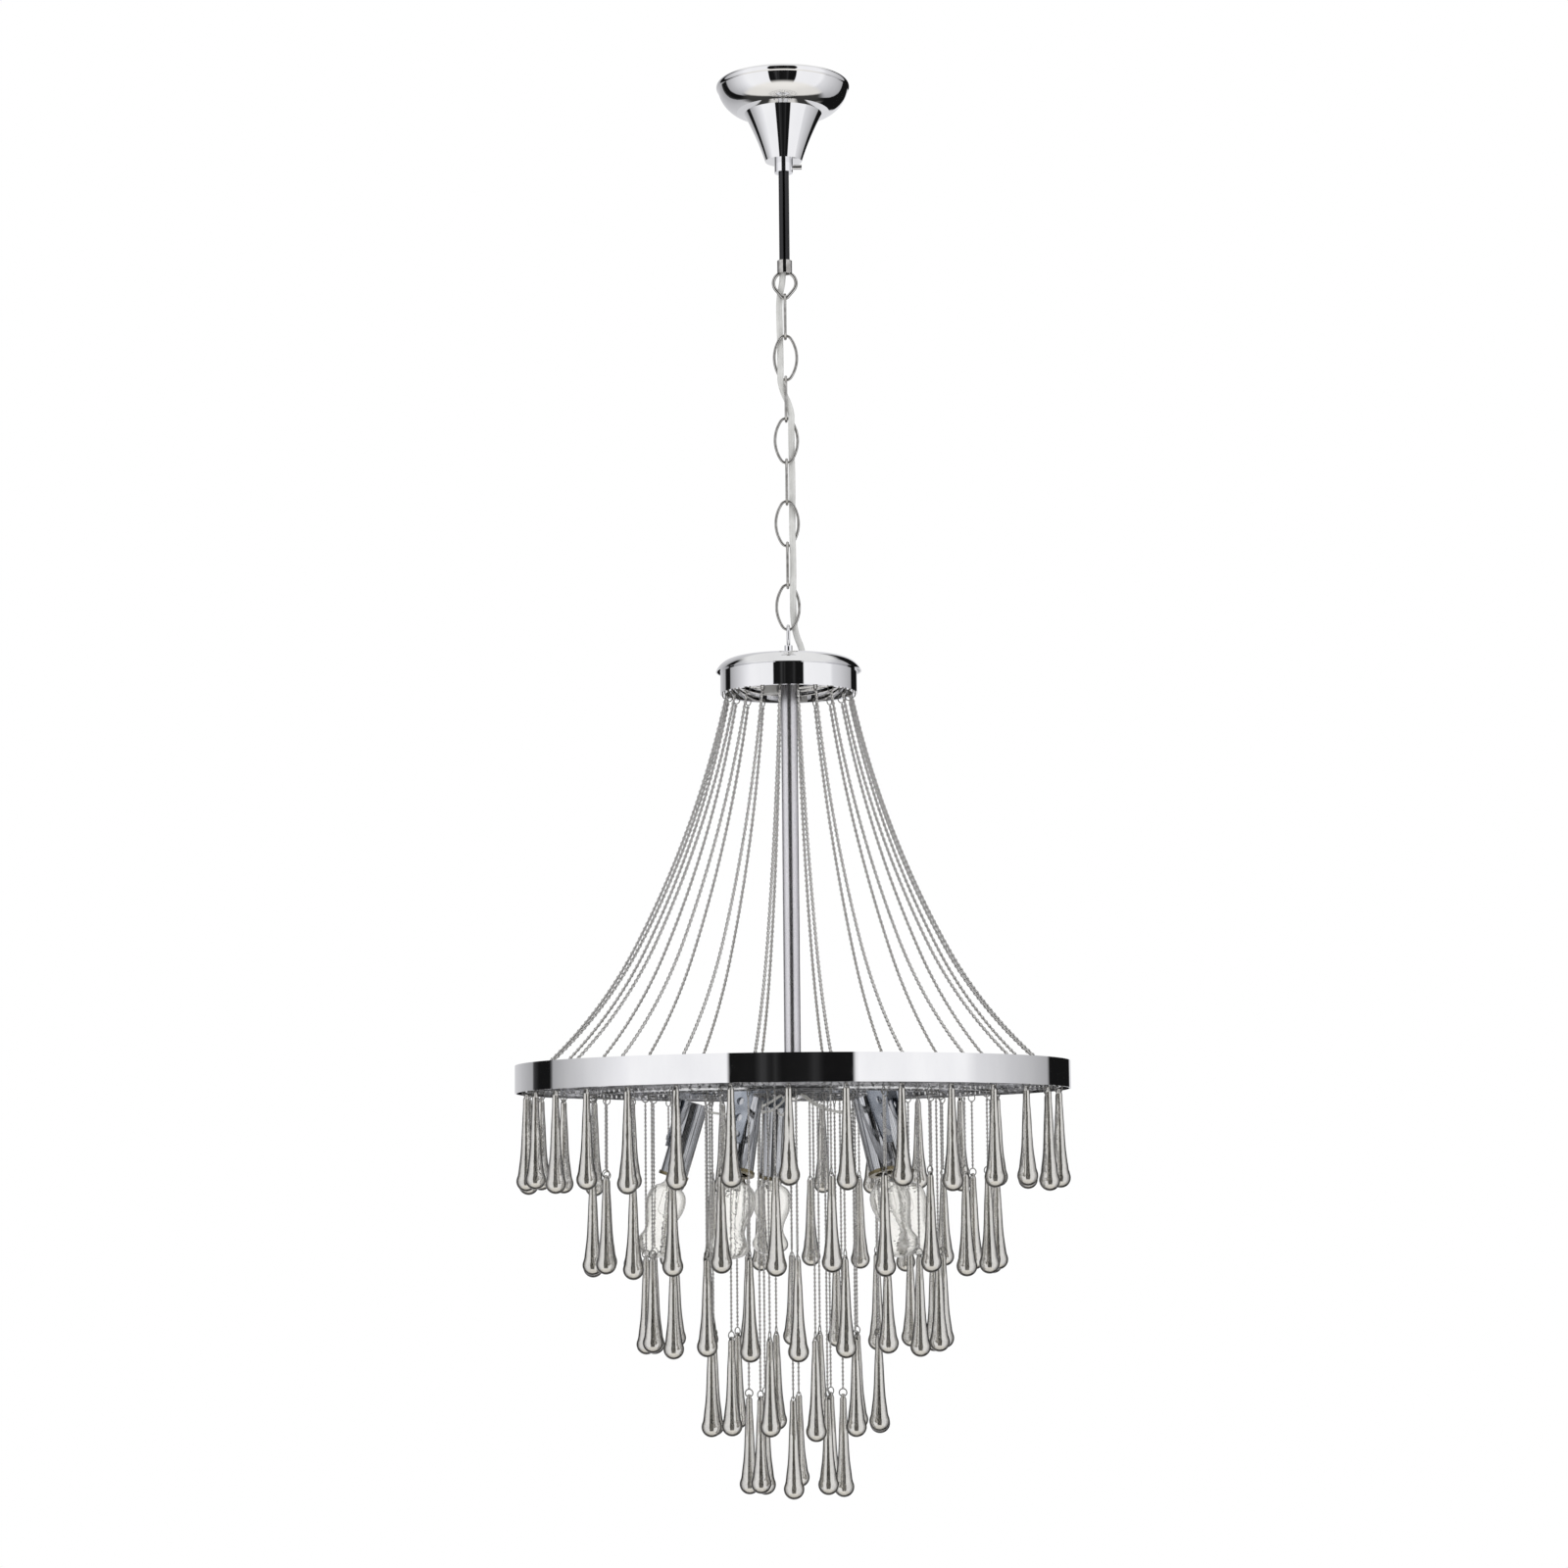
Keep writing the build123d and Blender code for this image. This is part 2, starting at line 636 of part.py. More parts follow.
# ---- glass drops --------------------------------------------------------------------------
def make_drop(length):
    """Solid glass teardrop, tip at z = 0, drilled across near its top."""
    lean = radians(drop_shoulder_lean)
    neck = (drop_neck_radius, length - drop_tab_height)
    shoulder = (
        drop_bulb_radius * cos(lean),
        drop_bulb_radius + drop_bulb_radius * sin(lean),
    )
    stem = [
        (neck[0] + left * (shoulder[0] - neck[0]), shoulder[1] + way * (neck[1] - shoulder[1]))
        for way, left in drop_stem
    ]
    stem_ends = [(-sin(lean), 0, cos(lean)), (0, 0, 1)]
    side = (drop_bulb_radius * cos(pi / 4), drop_bulb_radius * (1 - sin(pi / 4)))
    tab_low = (drop_tab_radius, length - drop_tab_height / 2)
    tab_high = (drop_tab_radius, length - drop_tab_radius)
    tab_round = (drop_tab_radius * cos(pi / 4), length - drop_tab_radius * (1 - sin(pi / 4)))
    edges = [
        ThreePointArc(in_xz(0, 0), in_xz(*side), in_xz(*shoulder)),
        Spline(*[in_xz(*point) for point in [shoulder, *stem, neck]], tangents=stem_ends),
        Line(in_xz(*neck), in_xz(*tab_low)),
        Line(in_xz(*tab_low), in_xz(*tab_high)),
        ThreePointArc(in_xz(*tab_high), in_xz(*tab_round), in_xz(0, length)),
        Line(in_xz(0, length), in_xz(0, 0)),
    ]
    hole = Rot(0, 90, 0) * Cylinder(drop_hole_radius, 4 * drop_tab_radius)
    return revolved(edges) - Pos(0, 0, length - drop_hole_from_top) * hole


def drop_lengths(tier):
    """Lengths in a fixed order that looks unsorted."""
    steps = [(3 * k + 2 * tier + k // 5) % 5 - 2 for k in range(tier_counts[tier])]
    return [drop_length + drop_length_step * step for step in steps]


def make_tier_drops(tier, glasses):
    """The glass drops of one tier, each at its hook."""
    drops = []
    top = drop_top - tier_falls[tier]
    for angle, length in zip(angles_of(tier), drop_lengths(tier)):
        placed = Pos(tier_radii[tier], 0, top - length) * glasses[length]
        drops.append(turned(placed, angle))
    return drops


def make_tier_wires(tier):
    """Hooks of one tier: a ring alone, or two rings joined by a straight fine chain."""
    centre = strip_bottoms[tier] + hook_seat - hook_radius
    low_centre = drop_top - drop_seat - tier_falls[tier] + hook_radius
    ring = ring_wire(hook_radius, hook_wire_radius)
    hanger = Pos(0, 0, centre) * ring
    if tier > 0:
        wire = cylinder(drop_wire_radius, low_centre + hook_radius, centre - hook_radius)
        hanger = hanger + wire + Pos(0, 0, low_centre) * ring
    hanger = Pos(tier_radii[tier], 0, 0) * hanger
    return [turned(hanger, angle) for angle in angles_of(tier)]


# ---- lamps --------------------------------------------------------------------------------
def in_lamp(shape, angle):
    """Places a shape built down the -Z axis on a lamp's leaning axis."""
    return turned(Pos(lamp_radius, 0, lamp_top) * Rot(0, -lamp_tilt, 0) * shape, angle)


def per_lamp(shape):
    return [in_lamp(shape, angle) for angle in lamp_angles]


def make_lamp_brackets():
    """Tab under a spoke and a tapering drilled plate down the outside of the holder."""
    lean = radians(lamp_tilt)
    face = holder_radius + running_gap
    plate_top = -(lamp_top_gap / cos(lean) - face * tan(lean)) + bracket_plate
    top = -plate_top
    half_top, half_tip = plate_top_width / 2, plate_tip_width / 2
    corners = [(-half_top, top), (half_top, top), (half_tip, -plate_length),
               (-half_tip, -plate_length)]
    outline = Plane.YZ * make_face(Polyline(*corners, close=True))
    plate = Pos(face, 0, 0) * extrude(outline, amount=bracket_plate)
    for place in plate_hole_places:
        plate -= Pos(face, 0, -place) * Rot(0, 90, 0) * Cylinder(plate_hole_radius, 8)
    screw_place = -(plate_length - 8)
    plate -= Pos(face, 0, screw_place) * Rot(0, 90, 0) * Cylinder(lamp_screw_radius + seat_gap, 8)
    outer = lamp_radius + face + bracket_plate
    tab = block(
        (lamp_radius - 4, -half_top, strip_top - bracket_plate),
        (outer + 2.5, half_top, strip_top),
    )
    above = block((0, -half_top - 1, strip_top), (2 * outer, half_top + 1, strip_top + plate_length))
    brackets = []
    for angle in lamp_angles:
        lower = in_lamp(plate, angle) - turned(above, angle)
        brackets.append(lower + turned(tab, angle))
    return brackets


def make_lamp_screws():
    """Pan-head screws through the plates into the holders."""
    face = holder_radius + running_gap + bracket_plate
    head = Pos(face + 0.9, 0, 0) * Rot(0, 90, 0) * Cylinder(2 * lamp_screw_radius, 1.6)
    shank_length = 4.0 + bracket_plate
    shank = Pos(face + 0.1 - shank_length / 2, 0, 0) * Rot(0, 90, 0) * Cylinder(
        lamp_screw_radius, shank_length
    )
    return per_lamp(Pos(0, 0, -(plate_length - 8)) * (head + shank))


def make_holders():
    body = cylinder(holder_radius, -holder_end, -holder_start)
    body -= cylinder(cap_radius + running_gap, -holder_end - 1, -holder_end + socket_depth)
    body -= Pos(holder_radius, 0, -(plate_length - 8)) * Rot(0, 90, 0) * Cylinder(
        lamp_screw_radius + seat_gap, 10
    )
    return per_lamp(body)


def make_rims():
    """Brass rim screwed on each holder's lower end."""
    outer = holder_radius + rim_step
    return per_lamp(tube(outer, cap_radius + 1.0, -holder_end - rim_height, -holder_end))


def make_caps():
    """Threaded metal lamp caps, closed at the contact end."""
    low = -holder_end - rim_height / 2
    high = -holder_end + socket_depth - running_gap
    cap = cylinder(cap_radius, low, high)
    return per_lamp(cap - cylinder(cap_radius - cap_wall, low - 1, high - 2))


def bulb_outline(inset):
    """Half outline of a candle bulb, neck up, moved inwards by inset."""
    neck = cap_radius - cap_wall - seat_gap - inset
    start = -holder_end + 3
    shoulder = -holder_end - rim_height - 4
    widest = (bulb_radius - inset, shoulder - bulb_length * 0.34)
    tip = shoulder - bulb_length + inset
    flare = (0.62 * widest[0] + 0.38 * neck, shoulder - bulb_length * 0.10)
    taper = (0.70 * widest[0], shoulder - bulb_length * 0.69)
    return [
        Line(in_xz(neck, start), in_xz(neck, shoulder)),
        Spline(
            in_xz(neck, shoulder), in_xz(*flare), in_xz(*widest), in_xz(*taper), in_xz(0, tip),
            tangents=[(0.25, 0, -1), (-1, 0, -0.25)],
        ),
        Line(in_xz(0, tip), in_xz(0, start)),
        Line(in_xz(0, start), in_xz(neck, start)),
    ]


def make_bulbs():
    """Clear blown glass, open at the neck where the cap closes it."""
    return per_lamp(revolved(bulb_outline(0)) - revolved(bulb_outline(bulb_wall)))


def make_filaments():
    """Glass foot with two leads and a filament bow."""
    foot_top = -holder_end + 2
    foot_low = -holder_end - rim_height - 14
    foot = cylinder(3.2, foot_low, foot_top)
    foot += Pos(0, 0, foot_top - 1.5) * Cylinder(cap_radius - cap_wall - bulb_wall - 0.4, 1.5)
    lead_length = 16.0
    bow = 5.0
    foot += block((-bow, -0.3, foot_low - 0.6), (bow, 0.3, foot_low + 0.6))
    for side in (-1, 1):
        foot += Pos(side * bow, 0, 0) * cylinder(0.35, foot_low - lead_length, foot_low)
    arch = Rot(90, 0, 0) * Torus(bow, 0.35)
    arch -= block((-2 * bow, -2, 0), (2 * bow, 2, 2 * bow))
    return per_lamp(foot + Pos(0, 0, foot_low - lead_length) * arch)


def make_lamp_wires():
    """Flexible leads from the hub nut to the inner side of each holder."""
    lean = radians(lamp_tilt)
    entry = holder_start + 4.0
    reach = holder_radius + running_gap
    end = (
        lamp_radius + entry * sin(lean) - reach * cos(lean),
        lamp_top - entry * cos(lean) - reach * sin(lean),
    )
    start = (hub_nut_radius + 2 * running_gap, strip_top - hub_nut_height / 2)
    low = ((start[0] + end[0]) / 2, min(start[1], end[1]) - lamp_wire_sag * 0.6)
    runs = [hypot(low[0] - start[0], low[1] - start[1]), hypot(end[0] - low[0], end[1] - low[1])]
    turn = atan2(start[1] - low[1], low[0] - start[0]) + atan2(end[1] - low[1], end[0] - low[0])
    radius = 0.45 * min(runs) / tan(turn / 2)
    path = FilletPolyline(in_xz(*start), in_xz(*low), in_xz(*end), radius=radius)
    section = Plane(origin=in_xz(*start), z_dir=path % 0) * Circle(lamp_wire_radius)
    lead = sweep(section, path=path)
    print(f"lamp wire length {path.length:.0f} mm, bend radius {radius:.0f} mm")
    return [turned(lead, angle) for angle in lamp_angles]


# ---- supply cable -------------------------------------------------------------------------
def cable_route():
    """From the terminal block down the stem, through the chain's links and into the crown.

    It goes through every link that faces the front, passes beside the others, and crosses
    from the chain's left to its right through the second of those.
    """
    m = [top - link_rise / 2 for top in link_tops]
    out, side = 5.4, 4.7
    return [
        (0, 0, stem_top + 1.5),
        (0, 0, loop_bottom + 1.0),
        (-5.4, out + 0.2, loop_tip + 2.6),
        (-side - 0.5, out, m[0] - 6.0),
        (-side, out, m[1] + 11.5),
        (-side, -out, m[1] - 11.5),
        (-side - 0.3, 0.2 - out, m[2] + 11.0),
        (side + 0.3, 0.2 - out, m[2] - 11.0),
        (side, -out, m[3] + 11.5),
        (side, out, m[3] - 11.5),
        (side + 0.5, out + 0.2, m[4]),
        (side, out, m[5] + 11.5),
        (side, -out, m[5] - 11.5),
        (side + 0.5, -out - 0.2, m[6]),
        (side, -out, m[7] + 11.5),
        (side, out, m[7] - 11.5),
        (7.4, out - 0.7, eye_top - 8.6),
        (cable_lid_offset - 1.4, 1.4, lid_top + 11.5),
        (cable_lid_offset, 0, lid_top + 3.2),
        (cable_lid_offset, 0, lid_under),
    ]


def make_cable():
    points = [Vector(*p) for p in cable_route()]
    radii = []
    for before, corner, after in zip(points, points[1:], points[2:]):
        turn = radians((corner - before).get_angle(after - corner))
        shorter = min((corner - before).length, (after - corner).length)
        radii.append(0.45 * shorter / tan(turn / 2))
    path = FilletPolyline(*points, radius=radii)
    section = Plane(origin=points[0], z_dir=(0, 0, -1)) * Circle(cable_radius)
    cable = sweep(section, path=path)
    ideal = pi * cable_radius**2 * path.length
    print(f"supply cable {path.length:.0f} mm, volume share {cable.volume / ideal:.4f}")
    print("its bend radii", [round(r) for r in radii])
    return cable


# ---- the object ---------------------------------------------------------------------------
def build():
    os.makedirs("parts", exist_ok=True)
    save("ceiling_bracket", make_bracket())
    save("stem_nuts", make_stem_nuts())
    save("terminal_block", make_terminal_block())
    save("canopy", make_canopy())
    save("canopy_collar", make_collar())
    save("collar_screw", make_collar_screw())
    save("stem_tube", tube(stem_radius, stem_bore_radius, stem_bottom, stem_top))
    save("stem_loop", make_stem_loop())
    for k, link in enumerate(make_links(), start=1):
        save(f"chain_link_{k}", link)
    save("supply_cable", make_cable())

    save("crown_eye", make_crown_eye())
    save("crown_lid", make_lid())
    save("crown_band", make_crown_band())
    save("crown_coupling", make_coupling())
    save("crown_connector", make_connector())
    save("cable_grommet", make_grommet())
    save("drape_strands", [turned(make_strand(), angle) for angle in strand_angles()])
    save("strand_hooks", make_strand_hooks())

    save("main_ring", make_main_ring())
    for tier in range(len(tier_radii)):
        save(f"frame_ring_{tier + 1}", make_frame_ring(tier))
    save("frame_spokes", make_spokes())
    save("hub_plate", make_hub())
    save("hub_nut", make_hub_nut())
    save("centre_tube", make_centre_tube())

    save("lamp_brackets", make_lamp_brackets())
    save("lamp_screws", make_lamp_screws())
    save("lamp_holders", make_holders())
    save("lamp_rims", make_rims())
    save("bulb_caps", make_caps())
    save("bulb_glasses", make_bulbs())
    save("bulb_filaments", make_filaments())
    save("lamp_wires", make_lamp_wires())

    lengths = sorted({length for tier in range(len(tier_radii)) for length in drop_lengths(tier)})
    glasses = {length: make_drop(length) for length in lengths}
    last = len(tier_radii) - 1
    for tier in range(last + 1):
        save(f"drop_hooks_{tier + 1}", make_tier_wires(tier))
        drops = make_tier_drops(tier, glasses)
        if tier < last:
            save(f"drops_tier_{tier + 1}", drops)
            continue
        for k, drop in enumerate(drops, start=1):
            save(f"tip_drop_{k}", drop)


build()
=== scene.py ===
"""Looks for the crystal chandelier: chrome, smoky glass, fine chains and the laced cable.

Metres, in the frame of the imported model: the ceiling is z = 0 and the viewer stands at -Y.
"""
import math
import random

import bpy
from mathutils import Matrix, Vector


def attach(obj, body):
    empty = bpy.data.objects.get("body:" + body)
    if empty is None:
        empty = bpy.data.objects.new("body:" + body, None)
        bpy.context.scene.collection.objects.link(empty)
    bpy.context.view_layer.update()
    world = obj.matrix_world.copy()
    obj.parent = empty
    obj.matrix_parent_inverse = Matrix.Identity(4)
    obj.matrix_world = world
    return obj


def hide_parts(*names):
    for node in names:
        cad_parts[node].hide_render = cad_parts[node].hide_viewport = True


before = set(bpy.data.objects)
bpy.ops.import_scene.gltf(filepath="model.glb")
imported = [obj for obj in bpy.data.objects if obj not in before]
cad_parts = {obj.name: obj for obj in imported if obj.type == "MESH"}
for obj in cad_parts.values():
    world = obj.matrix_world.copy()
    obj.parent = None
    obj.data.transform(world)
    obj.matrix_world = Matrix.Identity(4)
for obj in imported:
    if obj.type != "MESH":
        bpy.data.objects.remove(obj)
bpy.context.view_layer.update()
scene = bpy.context.scene

# ---- sizes that the scene shares with the model, in metres and degrees ----------------------
STRAND_ANGLES = [8.2 + 360 / 22 * k for k in range(22)]
STRAND_TOP = (0.05811, -0.57924)        # radius and height under the crown's small ring
STRAND_END = (0.23574, -0.92220)        # radius and height above the outer strip's small ring
STRAND_SLACK = (15.0, 0.5, 22.9)        # turn from its chord at the top, middle and bottom
STRAND_RADIUS, STRAND_PITCH = 0.0016, 0.0050        # of the chain and of its twist
STRAND_SWAY, STRAND_BELLY = 0.0016, 0.0012          # how far single strands stray
STRAND_SEED = 4
CHAIN_RADIUS, CHAIN_PITCH = 0.0011, 0.0036          # the same for the chain of the hangers
CHAIN_WAIST = 0.42                      # groove between its two wires, in parts of the radius
CHAIN_SIDES = 8
CHAIN_STEP = 0.0007                     # between its rings of points
HOOK_RADIUS, HOOK_WIRE = 0.0034, 0.0005             # of the small rings and of their wire
HANGERS = {
    # node: radius, count, first angle, middle of the upper ring, middle of the lower ring
    "drop_hooks_2": (0.182, 24, -5.0, -0.941355, -1.009355),
    "drop_hooks_3": (0.133, 20, 1.0, -0.941355, -1.080355),
    "drop_hooks_4": (0.077, 12, -17.0, -0.941355, -1.151355),
    "drop_hooks_5": (0.042, 8, -3.5, -0.941355, -1.204355),
}
LINK_TOPS = [-0.2009 - 0.0389 * k for k in range(8)]          # heights of the chain's joints
EYE_TOP = -0.5118                       # and of the crown's
CABLE_RADIUS = 0.0029
CABLE_SIDES = 20
DOME_ANGLES = (20, 40, 60, 80)          # rings of points on the round ends of its lengths
CABLE_ROUTE = [
    # the supply cable's points, from the terminal block down to the crown
    (0, 0, -0.0120), (0, 0, -0.1800), (-0.0054, 0.0056, -0.2015), (-0.0052, 0.0054, -0.2278),
    (-0.0047, 0.0054, -0.2492), (-0.0047, -0.0054, -0.2722), (-0.0050, -0.0052, -0.2886),
    (0.0050, -0.0052, -0.3106), (0.0047, -0.0054, -0.3270), (0.0047, 0.0054, -0.3500),
    (0.0052, 0.0056, -0.3774), (0.0047, 0.0054, -0.4048), (0.0047, -0.0054, -0.4278),
    (0.0052, -0.0056, -0.4552), (0.0047, -0.0054, -0.4826), (0.0047, 0.0054, -0.5056),
    (0.0074, 0.0047, -0.5204), (0.0116, 0.0014, -0.5309), (0.0130, 0, -0.5392),
    (0.0130, 0, -0.5436),
]
LAMP_ANGLES = [-26 + 72 * k for k in range(5)]
LEAD_ROUTE = [(0.0106, -0.9394), (0.0446, -0.9628), (0.0787, -0.9532)]   # radius and height
LEAD_RADIUS = 0.0011

# ---- camera and stage, fitted to the photograph ---------------------------------------------
CAMERA_PLACE = (-0.0053, -3.190, -1.041)
CAMERA_LENS = 81.0                      # mm, on a sensor 36 mm wide
CAMERA_RISE, CAMERA_ROLL = 6.86, -0.57
FLOOR_RADIUS, FLOOR_HEIGHT = 6.0, -2.4

# ---- light: what is seen by azimuth (degrees from the front, + towards +X) and brightness ---
STUDIO_CARDS = [                        # in polished metal
    (-180, 0.74), (-150, 0.55), (-134.5, 0.40), (-133.5, 0.05), (-128, 0.008), (-117, 0.008),
    (-116, 0.40), (-72, 0.95), (-68, 1.0), (-26.0, 1.0), (-25.4, 0.008), (-15, 0.010),
    (-12, 0.05), (-9, 0.008), (-7, 0.03), (-5, 0.008), (6, 0.012), (9, 0.035), (12, 0.008),
    (24.8, 0.008), (25.4, 1.0), (74, 1.0), (80, 0.80), (129, 0.42), (130, 0.008),
    (162, 0.008), (164, 0.78), (180, 0.78),
]
STUDIO_TINT = (0.98, 0.98, 1.01)
STUDIO_TOP = (0.85, 0.85, 0.85, 1)
STUDIO_TOP_FADE = (42, 55)              # degrees above level, like the two fades below
UNDER_CARDS = [                         # in undersides, from front (-1) to back (1)
    (-1, 0.95), (-0.45, 0.95), (-0.2, 0.84), (0.18, 0.80), (0.27, 0.05), (0.58, 0.04),
    (0.66, 0.75), (1, 0.80),
]
UNDER_TINT = (1, 0.975, 0.93)
UNDER_FADE = (-38, -52)
GLASS_CARDS = [                         # through the glass
    (-180, 1.0), (-136, 1.0), (-124, 0.10), (-104, 0.08), (-98, 0.8), (-80, 0.8),
    (-74, 0.08), (-52, 0.10), (-44, 1.0), (44, 1.0), (52, 0.10), (74, 0.08), (80, 0.8),
    (98, 0.8), (104, 0.08), (124, 0.10), (136, 1.0), (180, 1.0),
]
GLASS_TINT = (1, 0.985, 0.96)
GLASS_STEEP = (0.12, 0.115, 0.105, 1)   # through the glass, steeply up or down
GLASS_STEEP_FADE = (38, 52)
DIFFUSE_LIGHT = (0.9, 0.9, 0.9, 1)      # for surfaces that aren't polished
WHITE = (1, 1, 1, 1)


# ---- camera --------------------------------------------------------------------------------
def make_camera():
    data = bpy.data.cameras.new("camera")
    data.sensor_fit = "HORIZONTAL"
    data.sensor_width = 36.0
    data.lens = CAMERA_LENS
    data.clip_start = 0.1
    data.clip_end = 100.0
    camera = bpy.data.objects.new("camera", data)
    scene.collection.objects.link(camera)
    camera.location = CAMERA_PLACE
    pitch = Matrix.Rotation(math.radians(90.0 + CAMERA_RISE), 3, "X")
    roll = Matrix.Rotation(math.radians(CAMERA_ROLL), 3, "Z")
    camera.rotation_euler = (pitch @ roll).to_euler()
    scene.camera = camera


make_camera()


# ---- node helpers --------------------------------------------------------------------------
def new_material(name):
    material = bpy.data.materials.new(name)
    material.use_nodes = True
    tree = material.node_tree
    tree.nodes.clear()
    out = tree.nodes.new("ShaderNodeOutputMaterial")
    shader = tree.nodes.new("ShaderNodeBsdfPrincipled")
    tree.links.new(shader.outputs[0], out.inputs["Surface"])
    return material, tree, shader


def noise(tree, scale, detail=2.0, stretch=None):
    """A noise value in the row frame; stretch scales the coordinates first."""
    coordinates = tree.nodes.new("ShaderNodeTexCoord")
    source = coordinates.outputs["Object"]
    if stretch:
        mapping = tree.nodes.new("ShaderNodeMapping")
        mapping.inputs["Scale"].default_value = stretch
        tree.links.new(source, mapping.inputs["Vector"])
        source = mapping.outputs[0]
    texture = tree.nodes.new("ShaderNodeTexNoise")
    texture.inputs["Scale"].default_value = scale
    texture.inputs["Detail"].default_value = detail
    tree.links.new(source, texture.inputs["Vector"])
    return texture.outputs["Fac"]


def to_range(tree, value, low, high, start=0.3, end=0.7):
    node = tree.nodes.new("ShaderNodeMapRange")
    node.inputs["From Min"].default_value = start
    node.inputs["From Max"].default_value = end
    node.inputs["To Min"].default_value = low
    node.inputs["To Max"].default_value = high
    tree.links.new(value, node.inputs["Value"])
    return node.outputs[0]


def two_colours(tree, value, first, second):
    node = tree.nodes.new("ShaderNodeMix")
    node.data_type = "RGBA"
    node.inputs[6].default_value = (*first, 1)
    node.inputs[7].default_value = (*second, 1)
    tree.links.new(value, node.inputs[0])
    return node.outputs[2]


def bump(tree, shader, value, strength, distance):
    node = tree.nodes.new("ShaderNodeBump")
    node.inputs["Strength"].default_value = strength
    node.inputs["Distance"].default_value = distance
    tree.links.new(value, node.inputs["Height"])
    tree.links.new(node.outputs[0], shader.inputs["Normal"])


# ---- materials -----------------------------------------------------------------------------
def metal(name, dark, light, rough, scale=60.0, wave=0.0, stretch=None):
    """Polished metal: mottled colour and roughness, with a faint unevenness of the plating."""
    material, tree, shader = new_material(name)
    shader.inputs["Metallic"].default_value = 1.0
    mottle = noise(tree, scale, 4.0, stretch)
    tree.links.new(two_colours(tree, to_range(tree, mottle, 0, 1), dark, light),
                   shader.inputs["Base Color"])
    fine = noise(tree, scale * 9, 3.0, stretch)
    tree.links.new(to_range(tree, fine, rough[0], rough[1]), shader.inputs["Roughness"])
    if wave:
        bump(tree, shader, noise(tree, scale * 0.6, 1.0, stretch), 0.25, wave)
    return material


PAINTED_EDGE_FROM, PAINTED_EDGE_TO = 0.26, 0.60         # how far glass is turned away from the view where its painted edge shade starts and where it is full


def glass(name, tint, ior=1.52, rough=(0.0, 0.012), wave=0.0, scale=90.0, silvered=0.0,
          painted_edge_shade=None):
    """Clear or smoky glass; silvered is the share of light that its smoky film throws back, and
    painted_edge_shade the colour painted where the surface turns away from the view: a painted
    shade for the glass's dark rim."""
    material, tree, shader = new_material(name)
    shader.inputs["Base Color"].default_value = (*tint, 1)
    # painted shade: the colour darkens towards the edge as the surface turns away from the view
    if painted_edge_shade:
        weight = tree.nodes.new("ShaderNodeLayerWeight")
        weight.inputs["Blend"].default_value = 0.5
        painted_edge_mask = to_range(tree, weight.outputs["Facing"], 0.0, 1.0, PAINTED_EDGE_FROM, PAINTED_EDGE_TO)
        tree.links.new(two_colours(tree, painted_edge_mask, tint, painted_edge_shade), shader.inputs["Base Color"])
    shader.inputs["Metallic"].default_value = silvered
    shader.inputs["Transmission Weight"].default_value = 1.0
    shader.inputs["IOR"].default_value = ior
    tree.links.new(to_range(tree, noise(tree, scale * 4), rough[0], rough[1]),
                   shader.inputs["Roughness"])
    if wave:
        bump(tree, shader, noise(tree, scale, 1.5), 0.4, wave)
    return material


def plastic(name, dark, light, rough, scale=150.0, grain=0.00004):
    material, tree, shader = new_material(name)
    mottle = noise(tree, scale, 3.0)
    tree.links.new(two_colours(tree, to_range(tree, mottle, 0, 1), dark, light),
                   shader.inputs["Base Color"])
    tree.links.new(to_range(tree, mottle, rough[0], rough[1]), shader.inputs["Roughness"])
    bump(tree, shader, noise(tree, scale * 6, 2.0), 0.3, grain)
    return material


chrome = metal("chrome", (0.80, 0.80, 0.82), (0.90, 0.90, 0.91), (0.015, 0.05), 40.0, 0.00002)
chrome_sheet = metal(
    "chrome_sheet", (0.84, 0.84, 0.85), (0.92, 0.92, 0.92), (0.01, 0.04), 30.0, 0.00003,
    (1, 1, 0.35))
chrome_link = metal("chrome_link", (0.34, 0.33, 0.31), (0.66, 0.65, 0.63), (0.03, 0.1), 220.0,
                    0.00004)
chrome_tube = metal("chrome_tube", (0.70, 0.69, 0.71), (0.84, 0.83, 0.86), (0.22, 0.3), 90.0,
                    0.00001, (1, 1, 0.05))
chrome_strip = metal("chrome_strip", (0.62, 0.62, 0.62), (0.84, 0.84, 0.84), (0.04, 0.14), 160.0,
                     0.00004)
black_nickel = metal("black_nickel", (0.030, 0.030, 0.032), (0.065, 0.065, 0.068), (0.10, 0.2),
                     120.0, 0.00001, (1, 1, 0.05))
strand_metal = metal("strand_metal", (0.42, 0.41, 0.39), (0.80, 0.79, 0.77), (0.12, 0.26), 900.0)
hook_metal = metal("hook_metal", (0.16, 0.16, 0.15), (0.40, 0.39, 0.37), (0.14, 0.3), 500.0)
zinc = metal("zinc", (0.52, 0.53, 0.54), (0.68, 0.69, 0.70), (0.28, 0.5), 120.0, 0.00003)
brass = metal("brass", (0.16, 0.135, 0.08), (0.30, 0.255, 0.16), (0.14, 0.3), 160.0, 0.00002)
holder_metal = metal("holder_metal", (0.44, 0.45, 0.47), (0.62, 0.63, 0.65), (0.02, 0.08), 70.0,
                     0.00002, (1, 1, 0.2))
bracket_metal = metal("bracket_metal", (0.36, 0.39, 0.44), (0.52, 0.55, 0.60), (0.2, 0.34), 90.0,
                      0.00002)
# the last colour is painted shade at the edges of the drops
crystal = glass("crystal", (0.80, 0.785, 0.75), 1.52, (0.0, 0.02), 0.00010, 45.0, 0.72,
                (0.06, 0.055, 0.047))
